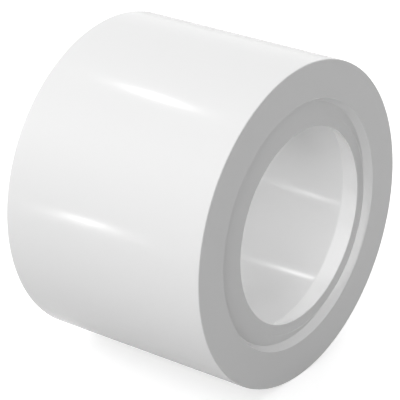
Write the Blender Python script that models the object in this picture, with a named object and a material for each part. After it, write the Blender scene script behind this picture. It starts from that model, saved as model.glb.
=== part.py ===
"""Short eccentric push-fit reducer: a 75 mm spigot whose off-centre bore is a socket for a 50 mm pipe.

The body's axis is X. The spigot end, which enters the larger socket first, faces +X and is called the
front. The smaller pipe enters from the rear, at -X, through a retaining ring and a lip seal, and stops
against the taper behind the front opening. All sizes are in metres.
"""

import math

import bmesh
import bpy
from mathutils import Matrix, Vector

# The body
SPIGOT_DIAMETER = 0.0750
BODY_LENGTH = 0.0532
BORE_OFFSET = 0.0034
BORE_CLOCK_DEGREES = -29.0  # direction of the offset, from +Y towards +Z

# The socket for the smaller pipe
PIPE_DIAMETER = 0.0500
PIPE_CLEARANCE = 0.0004  # all round the pipe
STOP_HEIGHT = 0.0027  # how far the front opening stands in from the socket's wall
STOP_TAPER_LENGTH = 0.0057
STOP_EDGE = 0.0003  # chamfer where the bore opens

# The shallow recess in the front face
RECESS_RADIUS = 0.0280  # at its floor
RECESS_DRAFT = 0.00085  # how much wider it is at the face than at its floor
RECESS_DEPTH = 0.0020
LAND_WIDTH = 0.0026  # the land round the opening, which bites into the recess's wall on one side
LAND_STEP = 0.0001  # how far the land lies below the recess's floor

# The seat for the seal, open to the rear
SEAT_LENGTH = 0.0180
SEAL_HEIGHT = 0.0040  # radial, from the socket's wall out to the seat's wall
RUBBER_WALL = 0.0019  # the seal's heel
LIP_THICKNESS = 0.0010
LIP_GRIP = 0.0007  # how far the relaxed lip reaches inside the pipe's surface
LIP_LENGTH = 0.0062

# The ring that keeps the seal in
RING_LENGTH = 0.0070
RING_CLEARANCE = 0.0008  # all round the pipe
RING_CHAMFER = 0.0015
SNAP_HEIGHT = 0.0008
SNAP_WIDTH = 0.0014
SNAP_SETBACK = 0.0024  # from the rear face to the snap bead

# The cored pockets on the thick side, open to the rear
OUTER_WALL = 0.0026
SEAT_WALL = 0.0024
POCKET_FLOOR = 0.0032  # plastic left between a pocket and the front face
POCKET_SPAN_DEGREES = 200.0
POCKET_COUNT = 6
RIB_THICKNESS = 0.0018

# Fits and facets
FIT_GAP = 0.0003  # between pieces that touch
CUT_OVERRUN = 0.0010  # how far a cutter runs out of the faces it opens
TURNED_SEGMENTS = 96
POCKET_ARC_STEPS = 6

# Sizes that follow from those above
SPIGOT_RADIUS = SPIGOT_DIAMETER / 2
PIPE_RADIUS = PIPE_DIAMETER / 2
SOCKET_RADIUS = PIPE_RADIUS + PIPE_CLEARANCE
STOP_RADIUS = SOCKET_RADIUS - STOP_HEIGHT
LAND_RADIUS = STOP_RADIUS + LAND_WIDTH
SEAT_RADIUS = SOCKET_RADIUS + SEAL_HEIGHT
BORE_CLOCK = math.radians(BORE_CLOCK_DEGREES)
BORE_CENTRE = Vector((0.0, BORE_OFFSET * math.cos(BORE_CLOCK), BORE_OFFSET * math.sin(BORE_CLOCK)))
FRONT = BODY_LENGTH / 2
REAR = -BODY_LENGTH / 2
SEAT_SHOULDER = REAR + SEAT_LENGTH
RING_FRONT = REAR + RING_LENGTH

WHITE = (0.86, 0.86, 0.85, 1.0)
RING_WHITE = (0.80, 0.80, 0.79, 1.0)
BLACK = (0.020, 0.020, 0.021, 1.0)


def clear_scene():
    for thing in list(bpy.data.objects):
        bpy.data.objects.remove(thing, do_unlink=True)


def plastic(name, colour, roughness):
    material = bpy.data.materials.new(name)
    material.use_nodes = True
    shader = material.node_tree.nodes["Principled BSDF"]
    shader.inputs["Base Color"].default_value = colour
    shader.inputs["Roughness"].default_value = roughness
    shader.inputs["Metallic"].default_value = 0.0
    return material


def object_from(name, bm, material=None):
    """Link what bm holds as a new object, its round faces smooth and its edges sharp."""
    bmesh.ops.recalc_face_normals(bm, faces=bm.faces)
    mesh = bpy.data.meshes.new(name)
    bm.to_mesh(mesh)
    bm.free()
    mesh.shade_smooth()
    mesh.set_sharp_from_angle(angle=math.radians(20.0))
    thing = bpy.data.objects.new(name, mesh)
    bpy.context.collection.objects.link(thing)
    if material:
        mesh.materials.append(material)
    return thing


def turned(profile, centre):
    """Spin a closed outline of (x, radius) points about the line through centre along X."""
    bm = bmesh.new()
    points = [bm.verts.new(centre + Vector((x, radius, 0.0))) for x, radius in profile]
    edges = [bm.edges.new((points[i - 1], points[i])) for i in range(len(points))]
    bmesh.ops.spin(
        bm,
        geom=points + edges,
        cent=centre,
        axis=(1.0, 0.0, 0.0),
        angle=math.tau,
        steps=TURNED_SEGMENTS,
        use_merge=True,
    )
    return bm


def frustum(rear_radius, front_radius, x_from, x_to):
    """A round solid about the body's own axis, from x_from at the rear to x_to."""
    bm = bmesh.new()
    middle = Matrix.Translation(((x_from + x_to) / 2, 0.0, 0.0))
    bmesh.ops.create_cone(
        bm,
        cap_ends=True,
        segments=TURNED_SEGMENTS,
        radius1=rear_radius,
        radius2=front_radius,
        depth=x_to - x_from,
        matrix=middle @ Matrix.Rotation(math.pi / 2, 4, "Y"),
    )
    return bm


def recess_cut():
    """The drafted recess, carried on along its own slope until it is out of the front face."""
    widening = RECESS_DRAFT * (RECESS_DEPTH + CUT_OVERRUN) / RECESS_DEPTH
    bm = frustum(RECESS_RADIUS, RECESS_RADIUS + widening, FRONT - RECESS_DEPTH, FRONT + CUT_OVERRUN)
    return object_from("recess_cutter", bm)


def bore_cut():
    """The inside of the body from front to rear, a solid that reaches out of both faces."""
    snap = SNAP_HEIGHT + FIT_GAP
    groove_rear = REAR + SNAP_SETBACK - FIT_GAP
    groove_front = REAR + SNAP_SETBACK + SNAP_WIDTH + FIT_GAP
    taper_front = FRONT - RECESS_DEPTH - LAND_STEP
    outline = [
        (FRONT + CUT_OVERRUN, LAND_RADIUS),
        (taper_front, LAND_RADIUS),
        (taper_front, STOP_RADIUS + STOP_EDGE),
        (taper_front - STOP_EDGE, STOP_RADIUS),
        (taper_front - STOP_TAPER_LENGTH, SOCKET_RADIUS),
        (SEAT_SHOULDER, SOCKET_RADIUS),
        (SEAT_SHOULDER, SEAT_RADIUS),
        (groove_front + snap, SEAT_RADIUS),
        (groove_front, SEAT_RADIUS - FIT_GAP + snap),
        (groove_rear, SEAT_RADIUS - FIT_GAP + snap),
        (groove_rear, SEAT_RADIUS),
        (REAR - CUT_OVERRUN, SEAT_RADIUS),
    ]
    bm = bmesh.new()
    points = [bm.verts.new(BORE_CENTRE + Vector((x, radius, 0.0))) for x, radius in outline]
    edges = [bm.edges.new(pair) for pair in zip(points, points[1:])]
    bmesh.ops.spin(
        bm,
        geom=points + edges,
        cent=BORE_CENTRE,
        axis=(1.0, 0.0, 0.0),
        angle=math.tau,
        steps=TURNED_SEGMENTS,
        use_merge=True,
    )
    bmesh.ops.holes_fill(bm, edges=[edge for edge in bm.edges if edge.is_boundary])
    return object_from("bore_cutter", bm)


def distance_to_seat_wall(angle):
    """From the body's axis to the outside of the wall round the seat, in the direction of angle."""
    wall = SEAT_RADIUS + SEAT_WALL
    turn = angle - BORE_CLOCK
    return BORE_OFFSET * math.cos(turn) + math.sqrt(wall**2 - (BORE_OFFSET * math.sin(turn)) ** 2)


def pocket_outline(start, end):
    """One pocket between two ribs, whose middle planes lie at the angles start and end."""
    outer = SPIGOT_RADIUS - OUTER_WALL
    half_rib = RIB_THICKNESS / 2
    outside = []
    inside = []
    for step in range(POCKET_ARC_STEPS + 1):
        share = step / POCKET_ARC_STEPS
        lean = (1 - 2 * share) * math.asin(half_rib / outer)
        angle = start + share * (end - start) + lean
        outside.append((outer * math.cos(angle), outer * math.sin(angle)))
        inner = distance_to_seat_wall(start + share * (end - start))
        lean = (1 - 2 * share) * math.asin(half_rib / inner)
        angle = start + share * (end - start) + lean
        inner = distance_to_seat_wall(angle)
        inside.append((inner * math.cos(angle), inner * math.sin(angle)))
    return outside + inside[::-1]


def pocket_cut():
    """All the pockets as one cutter of separate closed prisms."""
    bm = bmesh.new()
    middle = BORE_CLOCK + math.pi
    span = math.radians(POCKET_SPAN_DEGREES)
    pitch = span / POCKET_COUNT
    reach = FRONT - POCKET_FLOOR - (REAR - CUT_OVERRUN)
    for number in range(POCKET_COUNT):
        start = middle - span / 2 + number * pitch
        outline = pocket_outline(start, start + pitch)
        face = bm.faces.new([bm.verts.new((REAR - CUT_OVERRUN, y, z)) for y, z in outline])
        grown = bmesh.ops.extrude_face_region(bm, geom=[face], use_keep_orig=True)
        moved = [item for item in grown["geom"] if isinstance(item, bmesh.types.BMVert)]
        bmesh.ops.translate(bm, verts=moved, vec=(reach, 0.0, 0.0))
    return object_from("pocket_cutter", bm)


def cut(body, cutter):
    cutter.hide_render = True
    cutter.display_type = "WIRE"
    modifier = body.modifiers.new(cutter.name, "BOOLEAN")
    modifier.operation = "DIFFERENCE"
    modifier.object = cutter


def make_body():
    material = plastic("body_white", WHITE, 0.22)
    body = object_from("reducer_body", frustum(SPIGOT_RADIUS, SPIGOT_RADIUS, REAR, FRONT), material)
    cut(body, recess_cut())
    cut(body, bore_cut())
    cut(body, pocket_cut())
    return body


def make_seal():
    """A lip ring: a heel against the seat's wall, and a lip that leans inwards, the way the pipe goes in."""
    outer = SEAT_RADIUS - FIT_GAP
    heel = outer - RUBBER_WALL
    rear = RING_FRONT + FIT_GAP
    front = SEAT_SHOULDER - FIT_GAP
    tip = PIPE_RADIUS - LIP_GRIP
    root = SOCKET_RADIUS + PIPE_CLEARANCE
    web = rear + LIP_THICKNESS * 2
    outline = [
        (front, outer),
        (rear, outer),
        (rear, root),
        (rear + LIP_LENGTH, tip),
        (rear + LIP_LENGTH, tip + LIP_THICKNESS),
        (web, root + LIP_THICKNESS),
        (web, heel),
        (front, heel),
    ]
    material = plastic("seal_rubber", BLACK, 0.55)
    return object_from("pipe_seal", turned(outline, BORE_CENTRE), material)


def make_retaining_ring():
    """A plain ring with a chamfered mouth, and a bead that snaps into the groove in the body."""
    outer = SEAT_RADIUS - FIT_GAP
    inner = PIPE_RADIUS + RING_CLEARANCE
    bead_rear = REAR + SNAP_SETBACK
    bead_front = bead_rear + SNAP_WIDTH
    outline = [
        (REAR, outer),
        (REAR, inner + RING_CHAMFER),
        (REAR + RING_CHAMFER, inner),
        (RING_FRONT, inner),
        (RING_FRONT, outer),
        (bead_front + SNAP_HEIGHT, outer),
        (bead_front, outer + SNAP_HEIGHT),
        (bead_rear, outer + SNAP_HEIGHT),
        (bead_rear, outer),
    ]
    material = plastic("ring_white", RING_WHITE, 0.25)
    return object_from("seal_retaining_ring", turned(outline, BORE_CENTRE), material)


clear_scene()
make_body()
make_seal()
make_retaining_ring()
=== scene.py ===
# %% [markdown]
# # A short eccentric reducer
# The fitting joins a 50 mm waste pipe to a 75 mm socket. It is one thick white moulding whose outside is
# the 75 mm spigot. Its bore runs off centre, and holds a rubber lip seal behind a snap-in ring at the far
# mouth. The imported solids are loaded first. Each is then replaced by a finer piece in the same place.

# %% Load the frame
import math

import bpy
from mathutils import Matrix, Vector


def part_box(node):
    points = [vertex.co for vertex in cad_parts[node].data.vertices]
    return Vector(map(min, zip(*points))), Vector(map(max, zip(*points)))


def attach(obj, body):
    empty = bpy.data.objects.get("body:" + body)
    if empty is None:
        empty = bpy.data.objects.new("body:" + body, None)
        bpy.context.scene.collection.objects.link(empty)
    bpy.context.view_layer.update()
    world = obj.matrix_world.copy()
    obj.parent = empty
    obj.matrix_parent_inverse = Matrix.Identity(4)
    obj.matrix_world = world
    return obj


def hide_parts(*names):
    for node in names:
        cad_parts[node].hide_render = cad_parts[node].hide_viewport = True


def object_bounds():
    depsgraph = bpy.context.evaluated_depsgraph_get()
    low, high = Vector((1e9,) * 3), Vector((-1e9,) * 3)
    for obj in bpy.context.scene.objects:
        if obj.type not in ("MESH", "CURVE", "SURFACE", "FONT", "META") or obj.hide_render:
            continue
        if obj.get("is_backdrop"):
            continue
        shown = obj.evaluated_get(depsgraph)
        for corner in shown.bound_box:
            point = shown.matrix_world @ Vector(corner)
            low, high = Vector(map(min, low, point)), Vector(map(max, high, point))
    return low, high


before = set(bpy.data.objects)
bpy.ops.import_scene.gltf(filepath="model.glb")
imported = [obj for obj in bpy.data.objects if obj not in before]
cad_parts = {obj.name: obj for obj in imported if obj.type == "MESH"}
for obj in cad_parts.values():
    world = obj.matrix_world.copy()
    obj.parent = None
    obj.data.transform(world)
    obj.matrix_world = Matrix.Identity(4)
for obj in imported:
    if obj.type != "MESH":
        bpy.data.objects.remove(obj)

low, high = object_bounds()

# %% [markdown]
# ## The camera
# A long lens looks at the spigot end from in front, from the left and from above. The face is seen at more
# than half its width, and the plain side fills the left of the picture. The lens is long enough that the
# two ends differ little in size.

# %% Camera
SPIGOT_RADIUS = (high[2] - low[2]) / 2
FRONT = high[0]
REAR = low[0]
CAMERA_AZIMUTH = math.radians(37.07)
CAMERA_ELEVATION = math.radians(24.04)
CAMERA_DISTANCE = 12.207 * SPIGOT_RADIUS
LENS_MM = 187.4
SENSOR_MM = 36.0

right = Vector((math.cos(CAMERA_AZIMUTH), math.sin(CAMERA_AZIMUTH), 0.0))
back = Vector((
    math.sin(CAMERA_AZIMUTH) * math.cos(CAMERA_ELEVATION),
    -math.cos(CAMERA_AZIMUTH) * math.cos(CAMERA_ELEVATION),
    math.sin(CAMERA_ELEVATION),
))
up = back.cross(right)
aim = Vector((FRONT, 0.0, 0.0)) - SPIGOT_RADIUS * (0.5953 * right - 0.1532 * up)

bpy.ops.object.camera_add()
camera = bpy.context.object
camera.name = "studio_camera"
camera.data.lens = LENS_MM
camera.data.sensor_width = SENSOR_MM
camera.matrix_world = (
    Matrix.Translation(aim + CAMERA_DISTANCE * back) @ Matrix((right, up, back)).transposed().to_4x4()
)
bpy.context.scene.camera = camera
print("camera at", [round(value, 3) for value in camera.location])

# %% [markdown]
# ## Floor and light
# The fitting lies on a wide white sweep. A sweep as white as this would throw so much light back that the
# underside would be as bright as the top. So the camera and the gloss see a white floor, which glows a
# little for the camera, and the light that bounces softly sees a duller one. The Light Path node tells them
# apart.
#
# The sky is made of a few broad white lobes. It is dark towards the spigot face, so the face reads as a mid
# grey beside the bright side wall, and the recess shows. A low sun grazes the face, and its shadow gives the
# recess its soft shade. Plain fills lift the rest. They are left out of the gloss, where they would show as
# broad bands. Two small lamps draw the thin highlights along the side and along the bore. The fills and the
# small lamps cast no shadows, so that they reach into the bore.

# %% A helper for number nodes
def maths(tree, operation, first, second):
    """A Math node. Either side may be a number or another node's output."""
    node = tree.nodes.new("ShaderNodeMath")
    node.operation = operation
    for socket, value in zip(node.inputs, (first, second)):
        if isinstance(value, (int, float)):
            socket.default_value = value
        else:
            tree.links.new(value, socket)
    return node.outputs["Value"]


# %% Floor
FLOOR_HALF = 6.0
FLOOR_WHITE = 0.93
FLOOR_GLOW = 0.32
FLOOR_BOUNCE = 0.45
FLOOR_ROUGHNESS = 0.85
FLOOR_SPECULAR = 0.1


def plain_material(name, colour, roughness):
    """A new material and its Principled shader."""
    material = bpy.data.materials.new(name)
    material.use_nodes = True
    shader = material.node_tree.nodes["Principled BSDF"]
    shader.inputs["Base Color"].default_value = (*colour, 1.0)
    shader.inputs["Roughness"].default_value = roughness
    return material, shader


def build_floor_white():
    """White to look at, a duller white for light that bounces softly. It glows for the camera only."""
    material, seen = plain_material("floor_white", (FLOOR_WHITE,) * 3, FLOOR_ROUGHNESS)
    nodes = material.node_tree.nodes
    links = material.node_tree.links
    seen.inputs["Specular IOR Level"].default_value = FLOOR_SPECULAR
    seen.inputs["Emission Color"].default_value = (1.0, 1.0, 1.0, 1.0)
    bounced = nodes.new("ShaderNodeBsdfDiffuse")
    bounced.inputs["Color"].default_value = (*(FLOOR_BOUNCE,) * 3, 1.0)
    path = nodes.new("ShaderNodeLightPath")
    glow = maths(material.node_tree, "MULTIPLY", path.outputs["Is Camera Ray"], FLOOR_GLOW)
    links.new(glow, seen.inputs["Emission Strength"])
    mix = nodes.new("ShaderNodeMixShader")
    links.new(path.outputs["Is Diffuse Ray"], mix.inputs["Fac"])
    links.new(seen.outputs["BSDF"], mix.inputs[1])
    links.new(bounced.outputs["BSDF"], mix.inputs[2])
    links.new(mix.outputs["Shader"], nodes["Material Output"].inputs["Surface"])
    return material


bpy.ops.mesh.primitive_plane_add(size=2 * FLOOR_HALF, location=(0.0, 0.0, low[2]))
floor = bpy.context.object
floor.name = "studio_floor"
floor.data.materials.append(build_floor_white())
floor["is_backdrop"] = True
print("floor", 2 * FLOOR_HALF, "m wide at", round(1000 * low[2], 2), "mm")

# %% Sky
SKY_BASE = 0.035
SKY_LOBES = (
    ((0.0, 0.0, 1.0), 0.43),
    ((0.0, -1.0, 0.0), 0.69),
    ((-1.0, 0.0, 0.0), 1.46),
    ((0.0, 1.0, 0.0), 1.08),
)


def build_sky():
    """A faint even white, and lobes that each go as the square of the cosine to their direction."""
    world = bpy.data.worlds.new("studio_sky")
    world.use_nodes = True
    tree = world.node_tree
    where = tree.nodes.new("ShaderNodeTexCoord").outputs["Generated"]
    total = SKY_BASE
    for direction, strength in SKY_LOBES:
        cosine = tree.nodes.new("ShaderNodeVectorMath")
        cosine.operation = "DOT_PRODUCT"
        cosine.inputs[1].default_value = direction
        tree.links.new(where, cosine.inputs[0])
        facing = maths(tree, "MAXIMUM", cosine.outputs["Value"], 0.0)
        lobe = maths(tree, "MULTIPLY", maths(tree, "POWER", facing, 2.0), strength)
        total = maths(tree, "ADD", lobe, total)
    background = tree.nodes["Background"]
    background.inputs["Color"].default_value = (1.0, 1.0, 1.0, 1.0)
    tree.links.new(total, background.inputs["Strength"])
    return world


bpy.context.scene.world = build_sky()
bpy.context.scene.view_settings.view_transform = "Standard"
print("sky lobes", SKY_LOBES)

# %% Small lamps for the thin highlights
STREAK_LAMP_RADIUS = 0.003


def add_lamp(name, kind, place, strength, casts_shadow):
    """One lamp, which isn't seen itself."""
    bpy.ops.object.light_add(type=kind, location=place)
    lamp = bpy.context.object
    lamp.name = name
    lamp.visible_camera = False
    lamp.data.energy = strength
    lamp.data.use_shadow = casts_shadow
    return lamp


for name, place, strength in (
    ("streak_lamp_high", (-0.130, -0.032, 0.218), 0.055),
    ("streak_lamp_low", (-0.122, -0.195, -0.027), 0.026),
):
    add_lamp(name, "POINT", place, strength, False).data.shadow_soft_size = STREAK_LAMP_RADIUS
    print(name, "at", place)

# %% Suns
FILL_SPREAD = 0.6
GRAZING_SPREAD = 0.5

for name, direction, strength, spread, casts_shadow in (
    ("grazing_sun", (0.37, -0.91, 0.15), 0.62, GRAZING_SPREAD, True),
    ("rear_fill", (-0.80, -0.45, 0.40), 1.08, FILL_SPREAD, False),
    ("top_fill", (0.0, 0.0, 1.0), 0.31, FILL_SPREAD, False),
    ("side_fill", (0.0, -0.60, 0.80), 0.24, FILL_SPREAD, False),
):
    sun = add_lamp(name, "SUN", direction, strength, casts_shadow)
    sun.rotation_euler = Vector(direction).to_track_quat("Z", "Y").to_euler()
    sun.data.angle = spread
    sun.visible_glossy = False
    print(name, "from", direction)

# %% [markdown]
# ## How the pieces are turned
# All three pieces are round in section, and each real mould was turned on a lathe. So every piece starts as
# a flat outline of distances along X and radii, drawn from one corner to the next by extruding a point. Its
# corners are rounded while it is still an outline, which is cleaner than bevelling the finished solid. It is
# then spun about its own axis, its doubles are merged, and its normals are made to face out.

# %% Helpers that select
def select_only(thing):
    """Object mode, with one object selected and active."""
    if bpy.context.object and bpy.context.object.mode != "OBJECT":
        bpy.ops.object.mode_set(mode="OBJECT")
    bpy.ops.object.select_all(action="DESELECT")
    thing.select_set(True)
    bpy.context.view_layer.objects.active = thing


def select_points(thing, wanted):
    """In edit mode, leave selected only the points for which wanted(place) holds."""
    bpy.ops.mesh.select_mode(type="VERT")
    bpy.ops.mesh.select_all(action="DESELECT")
    bpy.ops.object.mode_set(mode="OBJECT")
    for point in thing.data.vertices:
        point.select = bool(wanted(point.co))
    bpy.ops.object.mode_set(mode="EDIT")


# %% Helpers that draw an outline and round its corners
MILLIMETRE = 0.001
PLACE_TOLERANCE = 1e-6
CORNER_SEGMENTS = 4


def draw_outline(name, corners, centre):
    """Extrude one point from corner to corner. A corner is (x, radius) or (x, radius, rounding), in mm."""
    places = [centre + Vector((corner[0], corner[1], 0.0)) * MILLIMETRE for corner in corners]
    bpy.ops.object.select_all(action="DESELECT")
    bpy.ops.mesh.primitive_plane_add(size=MILLIMETRE, location=(0.0, 0.0, 0.0))
    thing = bpy.context.object
    thing.name = name
    bpy.ops.object.mode_set(mode="EDIT")
    bpy.ops.mesh.select_mode(type="VERT")
    bpy.ops.mesh.select_all(action="SELECT")
    bpy.ops.mesh.merge(type="CENTER")
    bpy.ops.transform.translate(value=places[0])
    for before, after in zip(places, places[1:]):
        bpy.ops.mesh.extrude_region_move(TRANSFORM_OT_translate={"value": after - before})
    return thing, places


def round_corners(thing, corners, places):
    """Bevel the outline's points that ask for a rounding, one size at a time."""
    for size in sorted({corner[2] for corner in corners if len(corner) > 2}):
        chosen = [place for corner, place in zip(corners, places) if corner[2:] == (size,)]
        select_points(thing, lambda co: any((co - place).length < PLACE_TOLERANCE for place in chosen))
        bpy.ops.mesh.bevel(
            offset=size * MILLIMETRE,
            offset_type="OFFSET",
            segments=CORNER_SEGMENTS,
            affect="VERTICES",
            clamp_overlap=False,
        )


# %% The helper that turns an outline
SPIN_STEPS = 192
MERGE_DISTANCE = 1e-7


def turned(name, corners, centre=Vector((0.0, 0.0, 0.0)), closed=True):
    """A solid of revolution about the line through centre along X. An open outline ends on that line."""
    thing, places = draw_outline(name, corners, centre)
    if closed:
        ends = (places[0], places[-1])
        select_points(thing, lambda co: any((co - place).length < PLACE_TOLERANCE for place in ends))
        bpy.ops.mesh.edge_face_add()
    round_corners(thing, corners, places)
    bpy.ops.mesh.select_all(action="SELECT")
    bpy.ops.mesh.spin(steps=SPIN_STEPS, angle=math.tau, center=centre, axis=(1.0, 0.0, 0.0))
    bpy.ops.mesh.select_all(action="SELECT")
    bpy.ops.mesh.remove_doubles(threshold=MERGE_DISTANCE)
    bpy.ops.mesh.normals_make_consistent(inside=False)
    bpy.ops.object.mode_set(mode="OBJECT")
    return thing


# %% Helpers that cut and smooth
SHARP_DEGREES = 32.0
FLAT_FACE_WEIGHT = 90


def apply_modifier(thing, kind, **settings):
    """Add a modifier, set it and apply it."""
    select_only(thing)
    modifier = thing.modifiers.new(kind.lower(), kind)
    for key, value in settings.items():
        setattr(modifier, key, value)
    bpy.ops.object.modifier_apply(modifier=modifier.name)


def cut_away(thing, cutter):
    """Cut one solid out of another, and throw the cutter away."""
    apply_modifier(thing, "BOOLEAN", operation="DIFFERENCE", object=cutter, solver="EXACT")
    bpy.data.objects.remove(cutter, do_unlink=True)


def smooth_off(thing, degrees=SHARP_DEGREES):
    """Smooth the round faces, keep real edges sharp, and let the flat faces rule the normals beside them."""
    select_only(thing)
    bpy.ops.object.shade_smooth_by_angle(angle=math.radians(degrees))
    apply_modifier(thing, "WEIGHTED_NORMAL", keep_sharp=True, weight=FLAT_FACE_WEIGHT)
    print(thing.name, "has", len(thing.data.polygons), "faces")


# %% Places taken from the frame
ring_low, ring_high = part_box("seal_retaining_ring")
seal_low, seal_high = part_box("pipe_seal")
BORE_CENTRE = Vector((0.0, (seal_low[1] + seal_high[1]) / 2, (seal_low[2] + seal_high[2]) / 2))
BORE_ANGLE = math.atan2(BORE_CENTRE.z, BORE_CENTRE.y)
OFFSET = 1000 * BORE_CENTRE.length
BODY_FRONT = 1000 * FRONT
BODY_REAR = 1000 * REAR
BODY_RADIUS = 1000 * SPIGOT_RADIUS
SEAL_RADIUS = 500 * (seal_high[2] - seal_low[2])
FIT_GAP = 0.3
SEAT_RADIUS = SEAL_RADIUS + FIT_GAP
SEAT_SHOULDER = 1000 * seal_high[0] + FIT_GAP
RING_FRONT = 1000 * ring_high[0]
print("bore centre is", round(OFFSET, 2), "mm off, seat radius", round(SEAT_RADIUS, 2), "mm")

# %% [markdown]
# ## The body
# The real body is one injection moulding. A turned cavity forms its outside, a core from the spigot end
# forms the recess, and a core from the far end forms the bore. The outside edges are rounded by about
# 0.3 mm, as a moulding's are, and the recess has a draft so that its core pulls out.
#
# It could be one outline, but the bore's axis isn't the body's. So a turned blank is made about the body's
# axis, and turned cores are cut out of it about the bore's axis.

# %% The blank, with the recess in its front face
RECESS_DEPTH = 2.0
RECESS_FLOOR_RADIUS = 28.0
RECESS_RIM_RADIUS = 28.85
INSIDE_THE_BORE = 16.0

moulding = turned("reducer_moulding", [
    (BODY_REAR, INSIDE_THE_BORE),
    (BODY_REAR, BODY_RADIUS, 0.35),
    (BODY_FRONT, BODY_RADIUS, 0.25),
    (BODY_FRONT, RECESS_RIM_RADIUS, 0.10),
    (BODY_FRONT - RECESS_DEPTH, RECESS_FLOOR_RADIUS, 0.12),
    (BODY_FRONT - RECESS_DEPTH, INSIDE_THE_BORE),
])
print("blank", [round(1000 * side, 2) for side in moulding.dimensions], "mm")

# %% [markdown]
# ## The bore
# From the front, the bore opens in the recess's floor with a softly rounded edge. It widens over a short
# taper, which stops the pipe, to the plain socket. Behind that is the seat for the seal, with a groove in
# which the retaining ring snaps. The land round the opening is faced with the bore, so it bites into the
# recess's wall on the side to which the bore is offset.

# %% The bore's core
OVERRUN = 1.0
STOP_RADIUS = 22.7
SOCKET_RADIUS = 25.4
LAND_RADIUS = 25.3
LAND_STEP = 0.1
TAPER_LENGTH = 5.7
SNAP_GROOVE = 0.8
GROOVE_REAR = 2.1
GROOVE_FRONT = 4.1
GROOVE_RAMP_FRONT = 4.9
MOUTH_CHAMFER = 0.3
land = BODY_FRONT - RECESS_DEPTH - LAND_STEP

bore_core = turned("bore_core", [
    (BODY_FRONT + OVERRUN, 0.0),
    (BODY_FRONT + OVERRUN, LAND_RADIUS),
    (land, LAND_RADIUS, 0.05),
    (land, STOP_RADIUS, 0.30),
    (land - TAPER_LENGTH, SOCKET_RADIUS, 0.40),
    (SEAT_SHOULDER, SOCKET_RADIUS, 0.20),
    (SEAT_SHOULDER, SEAT_RADIUS, 0.20),
    (BODY_REAR + GROOVE_RAMP_FRONT, SEAT_RADIUS, 0.20),
    (BODY_REAR + GROOVE_FRONT, SEAT_RADIUS + SNAP_GROOVE, 0.15),
    (BODY_REAR + GROOVE_REAR, SEAT_RADIUS + SNAP_GROOVE, 0.15),
    (BODY_REAR + GROOVE_REAR, SEAT_RADIUS, 0.10),
    (BODY_REAR + MOUTH_CHAMFER, SEAT_RADIUS),
    (BODY_REAR - OVERRUN, SEAT_RADIUS + MOUTH_CHAMFER + OVERRUN),
    (BODY_REAR - OVERRUN, 0.0),
], BORE_CENTRE, closed=False)
cut_away(moulding, bore_core)
print("bored body has", len(moulding.data.polygons), "faces")

# %% [markdown]
# ## The cored pockets
# A thick lump of plastic sinks as it cools, so the thick side is cored out from the rear into six pockets
# between ribs. The six steel cores are made here in one go: a turned sleeve, less the wall round the seat,
# less the ribs. They are cut out of the body together.

# %% The pockets' cores
POCKET_FLOOR = 3.2
OUTER_WALL = 2.6
SEAT_WALL = 2.4
CORE_INNER = 24.0
CORE_DRAFT = 0.25
POCKET_SPAN = math.radians(200.0)
thick_side = BORE_ANGLE + math.pi

cores = turned("pocket_cores", [
    (BODY_REAR - OVERRUN, CORE_INNER),
    (BODY_REAR - OVERRUN, BODY_RADIUS - OUTER_WALL),
    (BODY_FRONT - POCKET_FLOOR, BODY_RADIUS - OUTER_WALL - CORE_DRAFT),
    (BODY_FRONT - POCKET_FLOOR, CORE_INNER),
])
seat_wall = turned("seat_wall", [
    (BODY_REAR - 2 * OVERRUN, 0.0),
    (BODY_REAR - 2 * OVERRUN, SEAT_RADIUS + SEAT_WALL),
    (BODY_FRONT, SEAT_RADIUS + SEAT_WALL + CORE_DRAFT),
    (BODY_FRONT, 0.0),
], BORE_CENTRE, closed=False)
cut_away(cores, seat_wall)
print("sleeve of cores has", len(cores.data.polygons), "faces")

# %% Part the cores at the ribs
RIB_THICKNESS = 1.8
POCKET_COUNT = 6


def cut_rib(angle):
    """Take one rib's thickness out of the cores, in the plane through the body's axis at this angle."""
    bpy.ops.object.select_all(action="DESELECT")
    bpy.ops.mesh.primitive_cube_add(size=1.0, location=(0.0, 0.0, 0.0))
    rib = bpy.context.object
    bpy.ops.object.mode_set(mode="EDIT")
    bpy.ops.mesh.select_all(action="SELECT")
    reach = SPIGOT_RADIUS + OVERRUN * MILLIMETRE
    bpy.ops.transform.resize(value=(3 * FRONT, reach, RIB_THICKNESS * MILLIMETRE))
    bpy.ops.transform.translate(value=(0.0, reach / 2, 0.0))
    bpy.ops.object.mode_set(mode="OBJECT")
    rib.rotation_euler = (angle, 0.0, 0.0)
    bpy.ops.object.transform_apply(location=True, rotation=True, scale=True)
    cut_away(cores, rib)


pitch = POCKET_SPAN / POCKET_COUNT
for number in range(POCKET_COUNT + 1):
    cut_rib(thick_side - POCKET_SPAN / 2 + number * pitch)
print("ribs are", round(math.degrees(pitch), 1), "degrees apart")

# %% Keep the cores of the thick side, and cut them out of the body
def outside_the_span(place):
    """True on the thin side, which has no pockets."""
    turn = math.atan2(place.z, place.y) - thick_side
    return abs(math.remainder(turn, math.tau)) > POCKET_SPAN / 2


select_only(cores)
bpy.ops.object.mode_set(mode="EDIT")
select_points(cores, outside_the_span)
bpy.ops.mesh.delete(type="VERT")
bpy.ops.object.mode_set(mode="OBJECT")
print("cores have", len(cores.data.polygons), "faces")
cut_away(moulding, cores)
smooth_off(moulding)

# %% [markdown]
# ## The seal
# The seal is an elastomer ring with a heel, which sits in the seat, and a lip, which leans in towards the
# stop, so that water pushing back presses it on the pipe. Its heel has low ribs outside, where it seals on
# the seat, and the lip has a rounded tip and two fine wiping ribs inside.

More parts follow.
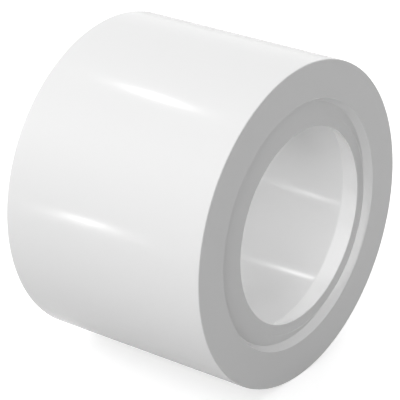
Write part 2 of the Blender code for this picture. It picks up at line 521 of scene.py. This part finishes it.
# %% The seal's main sizes
PIPE_RADIUS = 25.0
LIP_GRIP = 0.7
LIP_LENGTH = 6.2
RING_CLEARANCE = 0.8
LIP_THICKNESS = 1.0
WEB_THICKNESS = 2.0
HEEL_THICKNESS = 1.9
heel_rear = 1000 * seal_low[0]
heel_front = 1000 * seal_high[0]
root = PIPE_RADIUS + RING_CLEARANCE
tip = PIPE_RADIUS - LIP_GRIP


def lip_radius(share):
    """The lip's inner radius at this share of its length."""
    return root + share * (tip - root)


print("lip's tip radius", round(tip, 2), "mm")

# %% The ribs outside the heel and inside the lip
HEEL_RIB_COUNT = 3
HEEL_RIB_START = 2.4
HEEL_RIB_PITCH = 2.9
HEEL_RIB_HEIGHT = 0.35
HEEL_RIB_HALF_FOOT = 0.75
HEEL_RIB_HALF_TOP = 0.30
WIPING_RIB_SHARES = (0.45, 0.70)
WIPING_RIB_HALF_WIDTH = 0.35
WIPING_RIB_HEIGHT = 0.17

heel_ribs = []
for number in range(HEEL_RIB_COUNT):
    middle = heel_rear + HEEL_RIB_START + number * HEEL_RIB_PITCH
    heel_ribs += [
        (middle - HEEL_RIB_HALF_FOOT, SEAL_RADIUS - HEEL_RIB_HEIGHT),
        (middle - HEEL_RIB_HALF_TOP, SEAL_RADIUS, 0.12),
        (middle + HEEL_RIB_HALF_TOP, SEAL_RADIUS, 0.12),
        (middle + HEEL_RIB_HALF_FOOT, SEAL_RADIUS - HEEL_RIB_HEIGHT),
    ]
wiping_ribs = []
for share in WIPING_RIB_SHARES:
    along = heel_rear + share * LIP_LENGTH
    wiping_ribs += [
        (along - WIPING_RIB_HALF_WIDTH, lip_radius(share) + 0.03),
        (along, lip_radius(share) - WIPING_RIB_HEIGHT, 0.10),
        (along + WIPING_RIB_HALF_WIDTH, lip_radius(share) - 0.07),
    ]
print(HEEL_RIB_COUNT, "heel ribs and", len(WIPING_RIB_SHARES), "wiping ribs")

# %% Turn the seal
SEAL_SHARP_DEGREES = 50.0

seal = turned("lip_seal", [
    (heel_front, SEAL_RADIUS - HEEL_RIB_HEIGHT, 0.25),
    *reversed(heel_ribs),
    (heel_rear, SEAL_RADIUS - HEEL_RIB_HEIGHT, 0.25),
    (heel_rear, root, 0.25),
    *wiping_ribs,
    (heel_rear + LIP_LENGTH, tip, 0.30),
    (heel_rear + LIP_LENGTH, tip + LIP_THICKNESS, 0.30),
    (heel_rear + WEB_THICKNESS, root + LIP_THICKNESS, 0.40),
    (heel_rear + WEB_THICKNESS, SEAL_RADIUS - HEEL_THICKNESS, 0.40),
    (heel_front, SEAL_RADIUS - HEEL_THICKNESS, 0.25),
], BORE_CENTRE)
smooth_off(seal, SEAL_SHARP_DEGREES)

# %% [markdown]
# ## The retaining ring
# The ring that closes the seat is pushed in from the rear. Its bead snaps into the body's groove. Its mouth
# is chamfered to lead the pipe in, and its end face has a shallow groove, because a solid ring of this
# thickness would sink.

# %% Turn the retaining ring
RING_CHAMFER = 1.5
RELIEF_DEPTH = 0.5
BEAD_REAR = 2.4
BEAD_WIDTH = 1.4
BEAD_HEIGHT = 0.8
ring_inner = PIPE_RADIUS + RING_CLEARANCE
ring_outer = SEAL_RADIUS
bead_rear = BODY_REAR + BEAD_REAR
bead_front = bead_rear + BEAD_WIDTH

snap_ring = turned("seal_snap_ring", [
    (BODY_REAR, ring_outer, 0.25),
    (BODY_REAR, ring_inner + 3.0, 0.15),
    (BODY_REAR + RELIEF_DEPTH, ring_inner + 2.8, 0.10),
    (BODY_REAR + RELIEF_DEPTH, ring_inner + 2.2, 0.10),
    (BODY_REAR, ring_inner + 2.0, 0.15),
    (BODY_REAR, ring_inner + RING_CHAMFER, 0.20),
    (BODY_REAR + RING_CHAMFER, ring_inner, 0.30),
    (RING_FRONT, ring_inner, 0.25),
    (RING_FRONT, ring_outer, 0.20),
    (bead_front + BEAD_HEIGHT, ring_outer, 0.15),
    (bead_front, ring_outer + BEAD_HEIGHT, 0.20),
    (bead_rear, ring_outer + BEAD_HEIGHT, 0.20),
    (bead_rear, ring_outer, 0.10),
], BORE_CENTRE)
smooth_off(snap_ring)

# %% [markdown]
# ## The finishes
# The plastic is a glossy white, with the faint unevenness that a moulding picks up from its mould: the skin
# ripples by a few micrometres, its gloss varies a little, and handling leaves a few hair-fine marks. The
# rubber has the same kinds of unevenness, only coarser and duller. So both effects are shader groups that
# each finish uses with its own values.

# %% Helpers for shader groups
def group_sockets(group, inputs, outputs):
    """Number sockets of a group: inputs with their defaults, and outputs."""
    for name, default in inputs.items():
        socket = group.interface.new_socket(name, in_out="INPUT", socket_type="NodeSocketFloat")
        socket.default_value = default
    for name in outputs:
        group.interface.new_socket(name, in_out="OUTPUT", socket_type="NodeSocketFloat")


def noise(tree, where, scale, detail):
    """A Noise Texture. Its scale may be a number or another node's output."""
    node = tree.nodes.new("ShaderNodeTexNoise")
    node.inputs["Detail"].default_value = detail
    tree.links.new(where, node.inputs["Vector"])
    if isinstance(scale, (int, float)):
        node.inputs["Scale"].default_value = scale
    else:
        tree.links.new(scale, node.inputs["Scale"])
    return node.outputs["Fac"]


# %% A group for the moulded skin
RIPPLE_SHARE = 0.35
SWELL_SHARE = 0.65


def build_moulded_skin():
    """Ripple of the skin, and broad patches where it is a little duller or darker."""
    tree = bpy.data.node_groups.new("moulded_skin", "ShaderNodeTree")
    inputs = {"Ripple Scale": 900.0, "Patch Scale": 45.0, "Patch Depth": 0.2}
    group_sockets(tree, inputs, ["Height", "Patches"])
    given = tree.nodes.new("NodeGroupInput")
    put = tree.nodes.new("NodeGroupOutput")
    where = tree.nodes.new("ShaderNodeTexCoord").outputs["Object"]
    ripple = noise(tree, where, given.outputs["Ripple Scale"], 2.0)
    swell = noise(tree, where, given.outputs["Patch Scale"], 1.0)
    fine = maths(tree, "MULTIPLY", ripple, RIPPLE_SHARE)
    broad = maths(tree, "MULTIPLY", swell, SWELL_SHARE)
    height = maths(tree, "ADD", fine, broad)
    centred = maths(tree, "SUBTRACT", swell, 0.5)
    patches = maths(tree, "ADD", maths(tree, "MULTIPLY", centred, given.outputs["Patch Depth"]), 1.0)
    tree.links.new(height, put.inputs["Height"])
    tree.links.new(patches, put.inputs["Patches"])
    return tree


moulded_skin = build_moulded_skin()
print("group", moulded_skin.name, [socket.name for socket in moulded_skin.interface.items_tree])

# %% A group for handling marks
MARK_STRETCH = 0.22
MARKED_AREA_SCALE = 70.0
MARKED_AREA_LIMIT = 0.60


def build_handling_marks():
    """Hair-fine marks: thin lines where a stretched noise crosses its middle, kept to a few patches."""
    tree = bpy.data.node_groups.new("handling_marks", "ShaderNodeTree")
    group_sockets(tree, {"Fineness": 260.0, "Width": 0.006, "Amount": 0.5}, ["Marks"])
    given = tree.nodes.new("NodeGroupInput")
    put = tree.nodes.new("NodeGroupOutput")
    coordinates = tree.nodes.new("ShaderNodeTexCoord").outputs["Object"]
    stretch = tree.nodes.new("ShaderNodeMapping")
    stretch.inputs["Rotation"].default_value = (0.4, 0.9, 0.3)
    stretch.inputs["Scale"].default_value = (MARK_STRETCH, 1.0, 1.0)
    tree.links.new(coordinates, stretch.inputs["Vector"])
    streaky = noise(tree, stretch.outputs["Vector"], given.outputs["Fineness"], 1.0)
    away = maths(tree, "ABSOLUTE", maths(tree, "SUBTRACT", streaky, 0.5), 0.0)
    line = maths(tree, "LESS_THAN", away, given.outputs["Width"])
    area = noise(tree, coordinates, MARKED_AREA_SCALE, 0.0)
    where = maths(tree, "GREATER_THAN", area, MARKED_AREA_LIMIT)
    marks = maths(tree, "MULTIPLY", maths(tree, "MULTIPLY", line, where), given.outputs["Amount"])
    tree.links.new(marks, put.inputs["Marks"])
    return tree


handling_marks = build_handling_marks()
print("group", handling_marks.name, [socket.name for socket in handling_marks.interface.items_tree])

# %% One recipe for the three finishes
def finish(name, colour, roughness, ripple_scale, patch_depth, bump_distance, marks_amount, tint_range):
    """A Principled material with the skin and the marks in its colour, roughness and bump."""
    material, shader = plain_material(name, colour, roughness)
    tree = material.node_tree
    skin = tree.nodes.new("ShaderNodeGroup")
    skin.node_tree = moulded_skin
    skin.inputs["Ripple Scale"].default_value = ripple_scale
    skin.inputs["Patch Depth"].default_value = patch_depth
    marks = tree.nodes.new("ShaderNodeGroup")
    marks.node_tree = handling_marks
    marks.inputs["Amount"].default_value = marks_amount
    gloss = maths(tree, "MULTIPLY", skin.outputs["Patches"], roughness)
    gloss = maths(tree, "ADD", gloss, marks.outputs["Marks"])
    tree.links.new(gloss, shader.inputs["Roughness"])
    tint = tree.nodes.new("ShaderNodeMix")
    tint.data_type = "RGBA"
    tint.inputs["A"].default_value = (*[channel * (1.0 - tint_range) for channel in colour], 1.0)
    tint.inputs["B"].default_value = (*[channel * (1.0 + tint_range) for channel in colour], 1.0)
    tree.links.new(skin.outputs["Height"], tint.inputs["Factor"])
    tree.links.new(tint.outputs["Result"], shader.inputs["Base Color"])
    bump = tree.nodes.new("ShaderNodeBump")
    bump.inputs["Strength"].default_value = 1.0
    bump.inputs["Distance"].default_value = bump_distance
    tree.links.new(skin.outputs["Height"], bump.inputs["Height"])
    tree.links.new(bump.outputs["Normal"], shader.inputs["Normal"])
    return material, shader


# %% The three finishes
PLASTIC_IOR = 1.49

body_white, body_shader = finish(
    "body_white_moulding", (0.80, 0.80, 0.80), 0.16,
    ripple_scale=900.0, patch_depth=0.10, bump_distance=4e-6, marks_amount=0.03, tint_range=0.004,
)
ring_white, ring_shader = finish(
    "ring_white_moulding", (0.76, 0.76, 0.75), 0.24,
    ripple_scale=900.0, patch_depth=0.15, bump_distance=5e-6, marks_amount=0.04, tint_range=0.006,
)
seal_black = finish(
    "seal_black_rubber", (0.030, 0.030, 0.032), 0.52,
    ripple_scale=1600.0, patch_depth=0.25, bump_distance=2e-5, marks_amount=0.08, tint_range=0.12,
)[0]
for shader in (body_shader, ring_shader):
    shader.inputs["IOR"].default_value = PLASTIC_IOR
print("finishes", [material.name for material in (body_white, ring_white, seal_black)])

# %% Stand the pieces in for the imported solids
for piece, node, slot_name, material in (
    (moulding, "reducer_body", "body_white", body_white),
    (seal, "pipe_seal", "seal_rubber", seal_black),
    (snap_ring, "seal_retaining_ring", "ring_white", ring_white),
):
    piece.data.materials.clear()
    piece.data.materials.append(material)
    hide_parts(node)
    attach(piece, "root")
    print(piece.name, "stands for", node)

# %% Finish
low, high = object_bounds()
